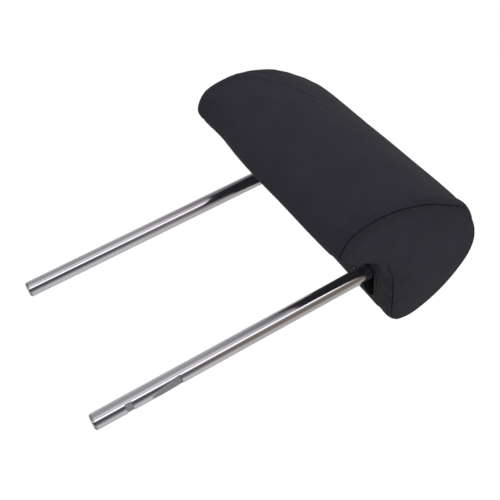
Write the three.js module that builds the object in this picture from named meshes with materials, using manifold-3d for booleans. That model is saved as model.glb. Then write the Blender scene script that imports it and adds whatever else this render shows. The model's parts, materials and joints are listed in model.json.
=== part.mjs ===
// Chair headrest attachment: an upholstered pad that tilts on a one-piece bent rod.
// Millimetres, +Z up. The origin is midway between the lower ends of the two posts.
// The posts stand along Z at X = +-POST_SPACING / 2, and the sitter's head rests on the -Y side of the pad.
import * as THREE from "three";
import { mergeVertices } from "three/addons/utils/BufferGeometryUtils.js";
import Module from "manifold-3d";

const wasm = await Module();
wasm.setup();

// ---- driving dimensions ----
const GAP = 0.3; // clearance between touching pieces
const CUT = 1; // how far a cutting solid runs past the faces it cuts
const FAR = 500; // beyond every face of the part

// stem: one rod bent into an inverted U
const ROD_RADIUS = 6;
const POST_SPACING = 132;
const POST_X = POST_SPACING / 2;
const BEND_RADIUS = 20; // to the rod's centre line
const PIVOT_Z = 252; // height of the crossbar, which is the tilt axis
const ROD_END_ROUND = 2;
const ROD_SIDES = 20;
const ROD_STEPS = 36; // along the bent stretch
const ROD_LAP = 2; // straight stretch where the bent piece overlaps each post

// height notches in one post, on the side away from the other post
const NOTCH_DEPTH = 2.4;
const SQUARE_NOTCH = [23.5, 28.5]; // bottom and top
const RAMP_NOTCH = [41, 64.5]; // depth grows from nothing to NOTCH_DEPTH, then a square step

// pad
const PAD_HALF_LENGTH = 95.5;
const SEAM_X = 92; // where the end panels are sewn to the main panel
const RIM = { length: 12, inset: 9 }; // rounding at each end: along X, and into the section
const INNER_RIM = { length: 11, inset: 7.8 }; // the same for the forms inside the fabric
const RIM_SEGMENTS = 4;
const FABRIC = 1.6; // backed upholstery fabric
const OUTLINE_STATIONS = 48;

// the pad's outer section as [Y, Z], from the underside's back corner round the back
const UNDERSIDE = 220.4;
const SECTION = [
  [28, UNDERSIDE],
  [37.5, 224],
  [41.5, 237],
  [35.5, 257.5],
  [22.5, 278],
  [6, 293],
  [-12, 297.5],
  [-30, 293.5],
  [-47, 283.5],
  [-66, 264],
  [-77.5, 246],
  [-87.5, 221.5],
  [-90, 203],
  [-85.5, 182],
  [-70.5, 173.5],
  [-57, 185.5],
  [-47, 199.5],
  [-36, 212],
  [-22, 218.5],
  [0, UNDERSIDE],
];

// base cover: the moulded plate that closes the underside
const BASE_HALF_LENGTH = 82;
const BASE_FRONT = -24;
const BASE_BACK = 31;
const BASE_BOTTOM = UNDERSIDE + 1.2;
const BASE_THICKNESS = 3;
const BASE_TOP = BASE_BOTTOM + BASE_THICKNESS;
const BASE_CORNER = 6;
const SLOT_HALF_WIDTH = 8;
const SLOT_FRONT = -8;
const SLOT_BACK = 27;
const SLOT_RIM = 1.6; // wall of the raised rim round each slot
const SLOT_RIM_HEIGHT = 3;
const BASE_SCREW_RECESS = 1.2;

// cavity in the foam, open to the underside
const CAVITY_BOTTOM = UNDERSIDE - 4;
const CAVITY_TOP = 273;
const CAVITY_STEP_Z = 240; // above it the cavity is shallower, front to back
const CAVITY_UPPER_BACK = 23.5;

// carrier: the steel plate in the pad that everything is fixed to
const CARRIER_BOTTOM = 263;
const CARRIER_THICKNESS = 3;
const CARRIER_TOP = CARRIER_BOTTOM + CARRIER_THICKNESS;
const CARRIER_HALF_LENGTH = 60;
const CARRIER_FRONT = -22;
const CARRIER_BACK = 21;
const CARRIER_CORNER = 5;

// friction clamps on the crossbar
const CLAMP_X = 30;
const CLAMP_LENGTH = 18; // along X
const CLAMP_HALF_WIDTH = 20; // along Y
const CLAMP_BORE = 9.3;
const CLAMP_CAP_FOOT = 5;
const CLAMP_CAP_RADIUS = 13;
const CLAMP_SCREW_Y = 14;
const CLAMP_HEAD_ROOM = 1.4; // round each screw head
const BUSH_INNER = ROD_RADIUS + GAP;
const BUSH_OUTER = 9;
const BUSH_FLANGE_RADIUS = 10.6;
const BUSH_FLANGE = 1.4;
const BUSH_SEGMENTS = 20;

// fasteners: shank radius, head radius and head height
const M5 = { shank: 2.5, head: 4.4, headHeight: 3.4, hole: 2.8 };
const M4 = { shank: 2, head: 3.9, headHeight: 2.2, hole: 2.3 };
const M3 = { shank: 1.5, head: 2.7, headHeight: 1.8, hole: 1.8 };
const NUT_HALF_FLATS = 4;
const NUT_HEIGHT = 4;
const SPRING_WASHER = { inner: 2.8, outer: 5, thickness: 0.8, cone: 0.6 };
const SPACER = { inner: 2.3, outer: 4.2, x: 50, y: 16.5 };
const FASTENER_SEGMENTS = 12;
const HEAD_CHAMFER = 0.5;
const TIP_CHAMFER = 0.6;
const SOCKET_SHARE = 0.75; // of the shank's radius

// tilt stop
const LUG_THICKNESS = 12; // along X
const LUG_HUB = 8.5;
const LUG_REACH = 18; // below the tilt axis
const LUG_BACK_FACE = 4;
const STOP_SHEET = 2;
const STOP_FRONT_FACE = -8.9;
const STOP_BACK_FACE = 12.8; // met by the lug after 30 degrees of tilt
const STOP_LEG_BOTTOM = PIVOT_Z - 17;
const STOP_HALF_WIDTH = 8;
const STOP_WEB_HALF_LENGTH = 17;
const STOP_SCREW = { x: 12.5, y: 10.5 };

// ---- finishes ----
const chrome = { color: 0xc9c9cc, roughness: 0.12, metalness: 1 };
const zincSteel = { color: 0x9a9a9c, roughness: 0.4, metalness: 1 };
const blackSteel = { color: 0x2a2a2c, roughness: 0.5, metalness: 0.8 };
const nylon = { color: 0xd8d6cc, roughness: 0.5, metalness: 0 };
const blackPlastic = { color: 0x1c1c1d, roughness: 0.6, metalness: 0 };
const foamGrey = { color: 0x8c8c88, roughness: 0.95, metalness: 0 };
const charcoalFabric = { color: 0x302f33, roughness: 0.9, metalness: 0 };

// ---- helpers ----
const part = new THREE.Group();

// A closed three.js geometry as a solid that can be cut and joined.
function solid(geometry) {
  const bare = geometry.clone();
  bare.deleteAttribute("normal");
  bare.deleteAttribute("uv");
  const merged = mergeVertices(bare, 1e-4);
  return new wasm.Manifold(
    new wasm.Mesh({
      numProp: 3,
      vertProperties: new Float32Array(merged.attributes.position.array),
      triVerts: new Uint32Array(merged.index.array),
    }),
  );
}

// Adds a solid to the part as a named mesh with its own material.
function add(name, body, finish) {
  const mesh = body.getMesh();
  const geometry = new THREE.BufferGeometry();
  geometry.setAttribute("position", new THREE.BufferAttribute(mesh.vertProperties, 3));
  geometry.setIndex(new THREE.BufferAttribute(mesh.triVerts, 1));
  geometry.computeVertexNormals();
  const node = new THREE.Mesh(geometry, new THREE.MeshStandardMaterial(finish));
  node.name = name;
  part.add(node);
}

function box(low, high) {
  const geometry = new THREE.BoxGeometry(high[0] - low[0], high[1] - low[1], high[2] - low[2]);
  geometry.translate((low[0] + high[0]) / 2, (low[1] + high[1]) / 2, (low[2] + high[2]) / 2);
  return solid(geometry);
}

// A cylinder along Z, standing on bottom.
function uprightCylinder(radius, bottom, top, x = 0, y = 0, segments = FASTENER_SEGMENTS) {
  const geometry = new THREE.CylinderGeometry(radius, radius, top - bottom, segments);
  geometry.rotateX(Math.PI / 2);
  geometry.translate(x, y, (top + bottom) / 2);
  return solid(geometry);
}

// A solid of revolution about Z through (x, y). The profile is a list of [radius, height], counter-clockwise.
function turned(profile, x = 0, y = 0, segments = FASTENER_SEGMENTS) {
  const points = profile.map(([radius, height]) => new THREE.Vector2(radius, height));
  const geometry = new THREE.LatheGeometry(points, segments);
  geometry.rotateX(Math.PI / 2);
  geometry.translate(x, y, 0);
  return solid(geometry);
}

// Turns a geometry extruded along Z, drawn in (Y, Z), so that it runs along X.
function alongX(geometry) {
  const turn = new THREE.Matrix4().makeBasis(
    new THREE.Vector3(0, 1, 0),
    new THREE.Vector3(0, 0, 1),
    new THREE.Vector3(1, 0, 0),
  );
  return geometry.applyMatrix4(turn);
}

// A closed outline of straight lines from a list of [u, v] points.
function polygon(points) {
  return new THREE.Shape(points.map(([u, v]) => new THREE.Vector2(u, v)));
}

// A circle whose centre is at height v.
function disc(radius, v) {
  return new THREE.Shape().absarc(0, v, radius, 0, 2 * Math.PI);
}

// A prism along X between x0 and x1 from a shape drawn in (Y, Z).
function prismAlongX(shape, x0, x1, curveSegments = 8) {
  const depth = x1 - x0;
  const geometry = new THREE.ExtrudeGeometry(shape, { depth, bevelEnabled: false, curveSegments });
  geometry.translate(0, 0, x0);
  return solid(alongX(geometry));
}

// A plate lying flat between two heights.
function plate(shape, bottom, top, curveSegments = 5) {
  const depth = top - bottom;
  const geometry = new THREE.ExtrudeGeometry(shape, { depth, bevelEnabled: false, curveSegments });
  geometry.translate(0, 0, bottom);
  return solid(geometry);
}

function roundedRectangle(x0, y0, x1, y1, radius) {
  const shape = new THREE.Shape();
  shape.moveTo(x0 + radius, y0);
  shape.lineTo(x1 - radius, y0);
  shape.absarc(x1 - radius, y0 + radius, radius, -Math.PI / 2, 0);
  shape.lineTo(x1, y1 - radius);
  shape.absarc(x1 - radius, y1 - radius, radius, 0, Math.PI / 2);
  shape.lineTo(x0 + radius, y1);
  shape.absarc(x0 + radius, y1 - radius, radius, Math.PI / 2, Math.PI);
  shape.lineTo(x0, y0 + radius);
  shape.absarc(x0 + radius, y0 + radius, radius, Math.PI, 1.5 * Math.PI);
  return shape;
}

// ---- pad forms ----
const sectionCurve = new THREE.CatmullRomCurve3(
  SECTION.map(([y, z]) => new THREE.Vector3(y, z, 0)),
  true,
  "centripetal",
);
const sectionPoints = sectionCurve.getSpacedPoints(OUTLINE_STATIONS).slice(0, -1);

// The section moved inwards by a distance.
function insetSection(distance) {
  return sectionPoints.map((point, i) => {
    const before = sectionPoints.at(i - 1);
    const after = sectionPoints[(i + 1) % sectionPoints.length];
    const along = after.clone().sub(before).normalize();
    return new THREE.Vector2(point.x - along.y * distance, point.y + along.x * distance);
  });
}

// The whole pad form with rounded ends, shrunk by a distance on all sides.
function padForm(shrink) {
  const rim = shrink > 0 ? INNER_RIM : RIM;
  const half = PAD_HALF_LENGTH - shrink;
  const geometry = new THREE.ExtrudeGeometry(new THREE.Shape(insetSection(shrink)), {
    depth: 2 * (half - rim.length),
    bevelEnabled: true,
    bevelThickness: rim.length,
    bevelSize: rim.inset,
    bevelOffset: -rim.inset,
    bevelSegments: RIM_SEGMENTS,
  });
  geometry.translate(0, 0, rim.length - half);
  return solid(alongX(geometry));
}

// A block over the whole base cover, grown sideways by a distance, from below the pad up to a height.
function baseWindow(grow, top) {
  return box(
    [-BASE_HALF_LENGTH - grow, BASE_FRONT - grow, CAVITY_BOTTOM],
    [BASE_HALF_LENGTH + grow, BASE_BACK + grow, top],
  );
}

function cavity() {
  const upper = box(
    [-BASE_HALF_LENGTH, BASE_FRONT, CAVITY_STEP_Z - CUT],
    [BASE_HALF_LENGTH, CAVITY_UPPER_BACK, CAVITY_TOP],
  );
  return baseWindow(0, CAVITY_STEP_Z).add(upper);
}

// ---- stem ----
// A bend of the rod in the XZ plane, about a centre, between two angles from +X.
class Bend extends THREE.Curve {
  constructor(centreX, centreZ, startAngle, endAngle) {
    super();
    Object.assign(this, { centreX, centreZ, startAngle, endAngle });
  }

  getPoint(t, target = new THREE.Vector3()) {
    const angle = this.startAngle + t * (this.endAngle - this.startAngle);
    const x = this.centreX + BEND_RADIUS * Math.cos(angle);
    return target.set(x, 0, this.centreZ + BEND_RADIUS * Math.sin(angle));
  }
}

function stemRod() {
  const bendStart = PIVOT_Z - BEND_RADIUS;
  const straight = POST_X - BEND_RADIUS;
  const place = (x, z) => new THREE.Vector3(x, 0, z);
  const path = new THREE.CurvePath();
  path.add(new THREE.LineCurve3(place(POST_X, bendStart - ROD_LAP), place(POST_X, bendStart)));
  path.add(new Bend(straight, bendStart, 0, Math.PI / 2));
  path.add(new THREE.LineCurve3(place(straight, PIVOT_Z), place(-straight, PIVOT_Z)));
  path.add(new Bend(-straight, bendStart, Math.PI / 2, Math.PI));
  path.add(new THREE.LineCurve3(place(-POST_X, bendStart), place(-POST_X, bendStart - ROD_LAP)));

  const circle = disc(ROD_RADIUS, 0);
  const bent = new THREE.ExtrudeGeometry(circle, {
    extrudePath: path,
    steps: ROD_STEPS,
    curveSegments: ROD_SIDES / 2,
    bevelEnabled: false,
  });
  let rod = solid(bent);
  const post = [
    [0, 0],
    [ROD_RADIUS - ROD_END_ROUND, 0],
    [ROD_RADIUS - 0.3 * ROD_END_ROUND, 0.3 * ROD_END_ROUND],
    [ROD_RADIUS, ROD_END_ROUND],
    [ROD_RADIUS, bendStart - ROD_LAP / 2],
    [0, bendStart - ROD_LAP / 2],
  ];
  for (const side of [-1, 1]) {
    rod = rod.add(turned(post, side * POST_X, 0, ROD_SIDES));
  }
  return rod.subtract(notches());
}

// The two height notches, cut into the outward side of the right-hand post.
function notches() {
  const face = POST_X + ROD_RADIUS;
  const beyond = face + CUT;
  const floor = face - NOTCH_DEPTH;
  const cut = (outline) => {
    const depth = 4 * ROD_RADIUS;
    const geometry = new THREE.ExtrudeGeometry(polygon(outline), { depth, bevelEnabled: false });
    geometry.translate(0, 0, -depth / 2);
    geometry.rotateX(Math.PI / 2);
    return solid(geometry);
  };
  const square = cut([
    [floor, SQUARE_NOTCH[0]],
    [beyond, SQUARE_NOTCH[0]],
    [beyond, SQUARE_NOTCH[1]],
    [floor, SQUARE_NOTCH[1]],
  ]);
  const ramp = cut([
    [face, RAMP_NOTCH[0]],
    [beyond, RAMP_NOTCH[0]],
    [beyond, RAMP_NOTCH[1]],
    [floor, RAMP_NOTCH[1]],
  ]);
  return square.add(ramp);
}

// The lug welded to the middle of the crossbar, which meets the stop bracket at both ends of the tilt.
function tiltStopLug() {
  const half = LUG_THICKNESS / 2;
  const hub = disc(LUG_HUB, PIVOT_Z);
  const tooth = [
    [-LUG_HUB, PIVOT_Z - LUG_REACH],
    [LUG_BACK_FACE, PIVOT_Z - LUG_REACH],
    [LUG_BACK_FACE, PIVOT_Z],
    [-LUG_HUB, PIVOT_Z],
  ];
  const bore = disc(ROD_RADIUS + GAP, PIVOT_Z);
  return prismAlongX(hub, -half, half)
    .add(prismAlongX(polygon(tooth), -half, half))
    .subtract(prismAlongX(bore, -half - CUT, half + CUT));
}

// ---- pad: inner frame ----
function fastenerHoles(positions, radius, bottom, top) {
  return positions
    .map(([x, y]) => uprightCylinder(radius, bottom, top, x, y))
    .reduce((holes, hole) => holes.add(hole));
}

const sides = [
  ["left", -1],
  ["right", 1],
];
const ends = [
  ["front", -1],
  ["back", 1],
];
// The four places at the same distances either side of the middle.
function fourPlaces(x, y) {
  return sides.flatMap(([, side]) => ends.map(([, end]) => [side * x, end * y]));
}

const clampScrewPlaces = fourPlaces(CLAMP_X, CLAMP_SCREW_Y);
const spacerPlaces = fourPlaces(SPACER.x, SPACER.y);
const stopScrewPlaces = sides.map(([, side]) => [side * STOP_SCREW.x, STOP_SCREW.y]);

function carrierPlate() {
  const shape = roundedRectangle(
    -CARRIER_HALF_LENGTH,
    CARRIER_FRONT,
    CARRIER_HALF_LENGTH,
    CARRIER_BACK,
    CARRIER_CORNER,
  );
  const below = CARRIER_BOTTOM - CUT;
  const above = CARRIER_TOP + CUT;
  return plate(shape, CARRIER_BOTTOM, CARRIER_TOP)
    .subtract(fastenerHoles(clampScrewPlaces, M5.hole, below, above))
    .subtract(fastenerHoles(spacerPlaces, M4.hole, below, above))
    .subtract(fastenerHoles(stopScrewPlaces, M3.hole, below, above));
}

function clampBore(half) {
  const circle = disc(CLAMP_BORE, PIVOT_Z);
  return prismAlongX(circle, -half, half, 10);
}

function clampSaddle(side) {
  const half = CLAMP_LENGTH / 2;
  const x = side * CLAMP_X;
  const block = box(
    [x - half, -CLAMP_HALF_WIDTH, PIVOT_Z + GAP],
    [x + half, CLAMP_HALF_WIDTH, CARRIER_BOTTOM - GAP],
  );
  const holes = fastenerHoles(clampScrewPlaces, M5.hole, PIVOT_Z - CUT, CARRIER_BOTTOM + CUT);
  return block.subtract(clampBore(CLAMP_X + CLAMP_LENGTH)).subtract(holes);
}

function clampCap(side) {
  const half = CLAMP_LENGTH / 2;
  const x = side * CLAMP_X;
  const top = PIVOT_Z - GAP;
  const footBottom = top - CLAMP_CAP_FOOT;
  const foot = box([x - half, -CLAMP_HALF_WIDTH, footBottom], [x + half, CLAMP_HALF_WIDTH, top]);
  const round = new THREE.Shape().absarc(0, PIVOT_Z, CLAMP_CAP_RADIUS, Math.PI, 2 * Math.PI);
  const above = box([x - CLAMP_LENGTH, -FAR, top], [x + CLAMP_LENGTH, FAR, FAR]);
  const hump = prismAlongX(round, x - half, x + half, 10).subtract(above);
  // flats either side of the hump let the screw heads sit square
  const headRadius = M5.head + CLAMP_HEAD_ROOM;
  const headRoom = fastenerHoles(clampScrewPlaces, headRadius, footBottom - CLAMP_CAP_RADIUS, footBottom);
  const holes = fastenerHoles(clampScrewPlaces, M5.hole, footBottom - CUT, top + CUT);
  const bore = clampBore(CLAMP_X + CLAMP_LENGTH);
  return foot.add(hump).subtract(headRoom).subtract(bore).subtract(holes);
}

// One half of a flanged bush: the upper half fills the saddle, the lower half the cap.
function bushHalf(side, upper) {
  const half = CLAMP_LENGTH / 2;
  const end = half + BUSH_FLANGE + GAP;
  const profile = [
    [BUSH_INNER, -end],
    [BUSH_FLANGE_RADIUS, -end],
    [BUSH_FLANGE_RADIUS, -half - GAP],
    [BUSH_OUTER, -half - GAP],
    [BUSH_OUTER, half + GAP],
    [BUSH_FLANGE_RADIUS, half + GAP],
    [BUSH_FLANGE_RADIUS, end],
    [BUSH_INNER, end],
    [BUSH_INNER, -end],
  ];
  const points = profile.map(([radius, along]) => new THREE.Vector2(radius, along));
  const geometry = new THREE.LatheGeometry(points, BUSH_SEGMENTS);
  geometry.rotateZ(-Math.PI / 2);
  geometry.translate(side * CLAMP_X, 0, PIVOT_Z);
  const otherHalf = upper
    ? box([-FAR, -FAR, 0], [FAR, FAR, PIVOT_Z + GAP / 2])
    : box([-FAR, -FAR, PIVOT_Z - GAP / 2], [FAR, FAR, FAR]);
  return solid(geometry).subtract(otherHalf);
}

function hexSocketScrew(size, x, y, headBottom, tip) {
  const headTop = headBottom + size.headHeight;
  const profile = [
    [0, headBottom],
    [size.head - HEAD_CHAMFER, headBottom],
    [size.head, headBottom + HEAD_CHAMFER],
    [size.head, headTop],
    [size.shank, headTop],
    [size.shank, tip - TIP_CHAMFER],
    [size.shank - TIP_CHAMFER, tip],
    [0, tip],
  ];
  const depth = size.headHeight / 2;
  const socket = uprightCylinder(size.shank * SOCKET_SHARE, headBottom - CUT, headBottom + depth, x, y, 6);
  return turned(profile, x, y).subtract(socket);
}

function springWasher(x, y, bottom) {
  const { inner, outer, thickness, cone } = SPRING_WASHER;
  const profile = [
    [inner, bottom + cone],
    [outer, bottom],
    [outer, bottom + thickness],
    [inner, bottom + cone + thickness],
    [inner, bottom + cone],
  ];
  return turned(profile, x, y);
}

function lockNut(x, y, bottom) {
  const corner = NUT_HALF_FLATS / Math.cos(Math.PI / 6);
  return uprightCylinder(corner, bottom, bottom + NUT_HEIGHT, x, y, 6).subtract(
    uprightCylinder(M5.hole, bottom - CUT, bottom + NUT_HEIGHT + CUT, x, y),
  );
}

function spacerSleeve(x, y) {
  const bottom = BASE_TOP + GAP;
  const top = CARRIER_BOTTOM - GAP;
  return uprightCylinder(SPACER.outer, bottom, top, x, y).subtract(
    uprightCylinder(SPACER.inner, bottom - CUT, top + CUT, x, y),
  );
}

function stopBracket() {
  const top = CARRIER_BOTTOM - GAP;
  const webBottom = top - STOP_SHEET;
  const back = STOP_BACK_FACE + STOP_SHEET;
  const legs = [
    [STOP_FRONT_FACE - STOP_SHEET, STOP_LEG_BOTTOM],
    [STOP_FRONT_FACE, STOP_LEG_BOTTOM],
    [STOP_FRONT_FACE, webBottom],
    [STOP_BACK_FACE, webBottom],
    [STOP_BACK_FACE, STOP_LEG_BOTTOM],
    [back, STOP_LEG_BOTTOM],
    [back, top],
    [STOP_FRONT_FACE - STOP_SHEET, top],
  ];
  const web = box([-STOP_WEB_HALF_LENGTH, ROD_RADIUS + CUT, webBottom], [STOP_WEB_HALF_LENGTH, back, top]);
  return prismAlongX(polygon(legs), -STOP_HALF_WIDTH, STOP_HALF_WIDTH)
    .add(web)
    .subtract(fastenerHoles(stopScrewPlaces, M3.hole, webBottom - CUT, top + CUT));
}

// ---- pad: base cover ----
// The slot that a post swings in, grown by a distance. Its ends are half circles.
function slotShape(side, grow) {
  const radius = SLOT_HALF_WIDTH + grow;
  const corner = 0.999 * radius;
  const x = side * POST_X;
  return roundedRectangle(x - radius, SLOT_FRONT - grow, x + radius, SLOT_BACK + grow, corner);
}

function baseCover() {
  const outline = roundedRectangle(
    -BASE_HALF_LENGTH + GAP,
    BASE_FRONT + GAP,
    BASE_HALF_LENGTH - GAP,
    BASE_BACK - GAP,
    BASE_CORNER,
  );
  const rimTop = BASE_TOP + SLOT_RIM_HEIGHT;
  const below = BASE_BOTTOM - CUT;
  let cover = plate(outline, BASE_BOTTOM, BASE_TOP);
  for (const [, side] of sides) {
    cover = cover.add(plate(slotShape(side, SLOT_RIM), BASE_BOTTOM, rimTop));
  }
  for (const [, side] of sides) {
    cover = cover.subtract(plate(slotShape(side, 0), below, rimTop + CUT));
  }
  const recess = fastenerHoles(spacerPlaces, M4.head + GAP, below, BASE_BOTTOM + BASE_SCREW_RECESS);
  const holes = fastenerHoles(spacerPlaces, M4.hole, below, BASE_TOP + CUT);
  return cover.subtract(recess).subtract(holes);
}

// ---- pad: foam and fabric ----
function foamCore() {
  return padForm(FABRIC + GAP).subtract(cavity());
}

// Everything between two places along X.
function slab(x0, x1) {
  return box([x0, -FAR, -FAR], [x1, FAR, FAR]);
}

function coverShell() {
  return padForm(0).subtract(padForm(FABRIC));
}

// The panel that wraps the whole section, with a window for the base cover.
function coverMainPanel() {
  const limit = SEAM_X - GAP / 2;
  return coverShell().intersect(slab(-limit, limit)).subtract(baseWindow(GAP, CAVITY_STEP_Z));
}

function coverEndPanel(side) {
  const inner = SEAM_X + GAP / 2;
  return coverShell().intersect(side > 0 ? slab(inner, FAR) : slab(-FAR, -inner));
}

// ---- assembly ----
add("stem_rod", stemRod(), chrome);
add("tilt_stop_lug", tiltStopLug(), zincSteel);
add("carrier_plate", carrierPlate(), blackSteel);
add("stop_bracket", stopBracket(), zincSteel);
add("base_cover", baseCover(), blackPlastic);

for (const [name, side] of sides) {
  add("clamp_saddle_" + name, clampSaddle(side), zincSteel);
  add("clamp_cap_" + name, clampCap(side), zincSteel);
  add("bush_upper_" + name, bushHalf(side, true), nylon);
  add("bush_lower_" + name, bushHalf(side, false), nylon);
}

const capFootBottom = PIVOT_Z - GAP - CLAMP_CAP_FOOT;
const washerBottom = capFootBottom - GAP - SPRING_WASHER.thickness - SPRING_WASHER.cone;
const clampHeadBottom = washerBottom - GAP - M5.headHeight;
const screwTip = CARRIER_TOP + 1;
const clampTip = CARRIER_TOP + GAP + NUT_HEIGHT + 1;
const baseHeadBottom = BASE_BOTTOM + BASE_SCREW_RECESS - GAP - M4.headHeight;
for (const [sideName, side] of sides) {
  for (const [endName, end] of ends) {
    const suffix = sideName + "_" + endName;
    const clampPlace = [side * CLAMP_X, end * CLAMP_SCREW_Y];
    const spacerPlace = [side * SPACER.x, end * SPACER.y];
    add("clamp_screw_" + suffix, hexSocketScrew(M5, ...clampPlace, clampHeadBottom, clampTip), blackSteel);
    add("spring_washer_" + suffix, springWasher(...clampPlace, washerBottom), zincSteel);
    add("lock_nut_" + suffix, lockNut(...clampPlace, CARRIER_TOP + GAP), zincSteel);
    add("spacer_sleeve_" + suffix, spacerSleeve(...spacerPlace), zincSteel);
    add("base_screw_" + suffix, hexSocketScrew(M4, ...spacerPlace, baseHeadBottom, screwTip), blackSteel);
  }
}

const stopHeadBottom = CARRIER_BOTTOM - GAP - STOP_SHEET - GAP - M3.headHeight;
for (const [name, side] of sides) {
  const place = [side * STOP_SCREW.x, STOP_SCREW.y];
  add("stop_screw_" + name, hexSocketScrew(M3, ...place, stopHeadBottom, screwTip), blackSteel);
}

add("foam_core", foamCore(), foamGrey);
add("cover_main_panel", coverMainPanel(), charcoalFabric);
for (const [name, side] of sides) {
  add("cover_end_panel_" + name, coverEndPanel(side), charcoalFabric);
}

export default part;
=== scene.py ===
"""The looks of the chair headrest attachment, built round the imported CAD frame. Metres, +Z up.

The posts stand along Z, the sitter's head rests on the -Y side of the pad, and the pad tilts about the
crossbar that joins the posts inside it.
"""

import json
import math

import bmesh
import bpy
import numpy as np
from mathutils import Matrix, Vector, noise
from mathutils.geometry import delaunay_2d_cdt


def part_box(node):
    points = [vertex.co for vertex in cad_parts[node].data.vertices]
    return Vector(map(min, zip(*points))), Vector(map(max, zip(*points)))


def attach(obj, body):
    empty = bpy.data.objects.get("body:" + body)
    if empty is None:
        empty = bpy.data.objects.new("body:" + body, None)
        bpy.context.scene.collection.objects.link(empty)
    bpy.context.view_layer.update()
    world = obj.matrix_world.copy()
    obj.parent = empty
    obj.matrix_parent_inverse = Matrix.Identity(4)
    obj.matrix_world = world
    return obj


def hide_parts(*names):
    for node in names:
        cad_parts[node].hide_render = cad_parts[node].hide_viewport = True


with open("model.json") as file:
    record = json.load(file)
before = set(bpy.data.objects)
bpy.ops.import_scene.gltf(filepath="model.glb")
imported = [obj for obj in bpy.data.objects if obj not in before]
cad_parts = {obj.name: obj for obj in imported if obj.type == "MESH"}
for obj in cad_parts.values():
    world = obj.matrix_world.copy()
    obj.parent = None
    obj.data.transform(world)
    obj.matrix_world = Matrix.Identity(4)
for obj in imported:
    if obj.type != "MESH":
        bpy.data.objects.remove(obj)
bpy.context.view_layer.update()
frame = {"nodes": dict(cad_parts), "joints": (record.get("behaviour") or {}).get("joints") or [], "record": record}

MM = 0.001

# ---- sizes from the frame ----
PIVOT = Vector(frame["joints"][0]["pos_m"])
rod_low, rod_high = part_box("stem_rod")
ROD_RADIUS = (rod_high.y - rod_low.y) / 2
POST_X = rod_high.x - ROD_RADIUS
base_low, base_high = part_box("base_cover")
end_low, end_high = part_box("cover_end_panel_right")
main_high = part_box("cover_main_panel")[1]
SEAM_X = (end_low.x + main_high.x) / 2
PAD_HALF_LENGTH = end_high.x

# ---- sizes of the pad's form: the section is the CAD source's, in millimetres ----
SECTION = [
    (28, 220.4), (37.5, 224), (41.5, 237), (35.5, 257.5), (22.5, 278), (6, 293), (-12, 297.5),
    (-30, 293.5), (-47, 283.5), (-66, 264), (-77.5, 246), (-87.5, 221.5), (-90, 203), (-85.5, 182),
    (-70.5, 173.5), (-57, 185.5), (-47, 199.5), (-36, 212), (-22, 218.5), (0, 220.4),
]  # fmt: skip
RIM_LENGTH = 10 * MM
RIM_INSET = 8 * MM
DOME_HEIGHT = 1.2 * MM
DOME_REACH = 11 * MM
FABRIC = 0.9 * MM
ROLL = math.radians(1.2)  # the upholstery sits a little askew on its frame
BEND_RADIUS = 20 * MM
SQUARE_NOTCH = (23.5 * MM, 28.5 * MM)
RAMP_NOTCH = (41 * MM, 64.5 * MM)
NOTCH_DEPTH = 2.4 * MM
ROD_END_ROUND = 2 * MM
GAP = 0.3 * MM
CAVITY_STEP = 240 * MM
CAVITY_TOP = 273 * MM
CAVITY_UPPER_BACK = 23.5 * MM
BASE_THICKNESS = 3 * MM
BASE_SCREW = (50 * MM, 16.5 * MM)
SLOT_HALF_WIDTH = 6.9 * MM
SLOT_FRONT = -6.9 * MM
SLOT_BACK = 26 * MM
SLOT_RIM = 2.4 * MM

# Where the stuffing differs from the plain section: a place (X, Y, Z), the reach round it along X and round
# the section, and how far in the surface stands there, all in millimetres. Negative depths stand out.
FULLNESS = [
    ((95, -32, 293), 22, 14, 1.9),
    ((95, -10, 297), 22, 20, 2.0),
    ((95, 12, 289), 22, 16, 1.0),
    ((95, 41, 232), 22, 20, 1.2),
    ((95, -52, 280), 22, 14, -1.4),
    ((95, -68, 262), 22, 18, 0.8),
    ((-95, -10, 297), 22, 20, 1.2),
    ((-95, 12, 289), 22, 16, 0.8),
    ((-95, 41, 232), 22, 20, 1.0),
    ((-95, -52, 280), 22, 14, 1.6),
    ((-95, -68, 262), 22, 18, 1.9),
    ((-95, -76, 176), 16, 14, -0.4),
    ((-62, -74, 176), 20, 14, 1.5),
    ((-30, -52, 280), 45, 14, 1.2),
    ((-30, -68, 262), 45, 18, 1.3),
    ((40, -60, 271), 30, 18, 0.8),
    ((-5, -76, 176), 30, 14, -0.5),
    ((95, -80, 180), 22, 14, 0.4),
]
# Creases in the main panel: middle (distance round the section, X), direction, half length, width and
# depth, all in millimetres. A negative depth is a ridge.
CREASES = [
    ((201.7, -53.3), (-19.8, 24.5), 17, 2.0, 2.0),
    ((205.5, -51.0), (-10, 14), 9, 1.6, 0.8),
    ((190.5, -58.5), (-10, 19.5), 13, 2.4, 0.8),
    ((223.0, -77.0), (-16, 17), 17, 3.0, -0.8),
    ((197.0, -30.0), (-14, 14), 9, 3.0, 0.5),
]


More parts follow.
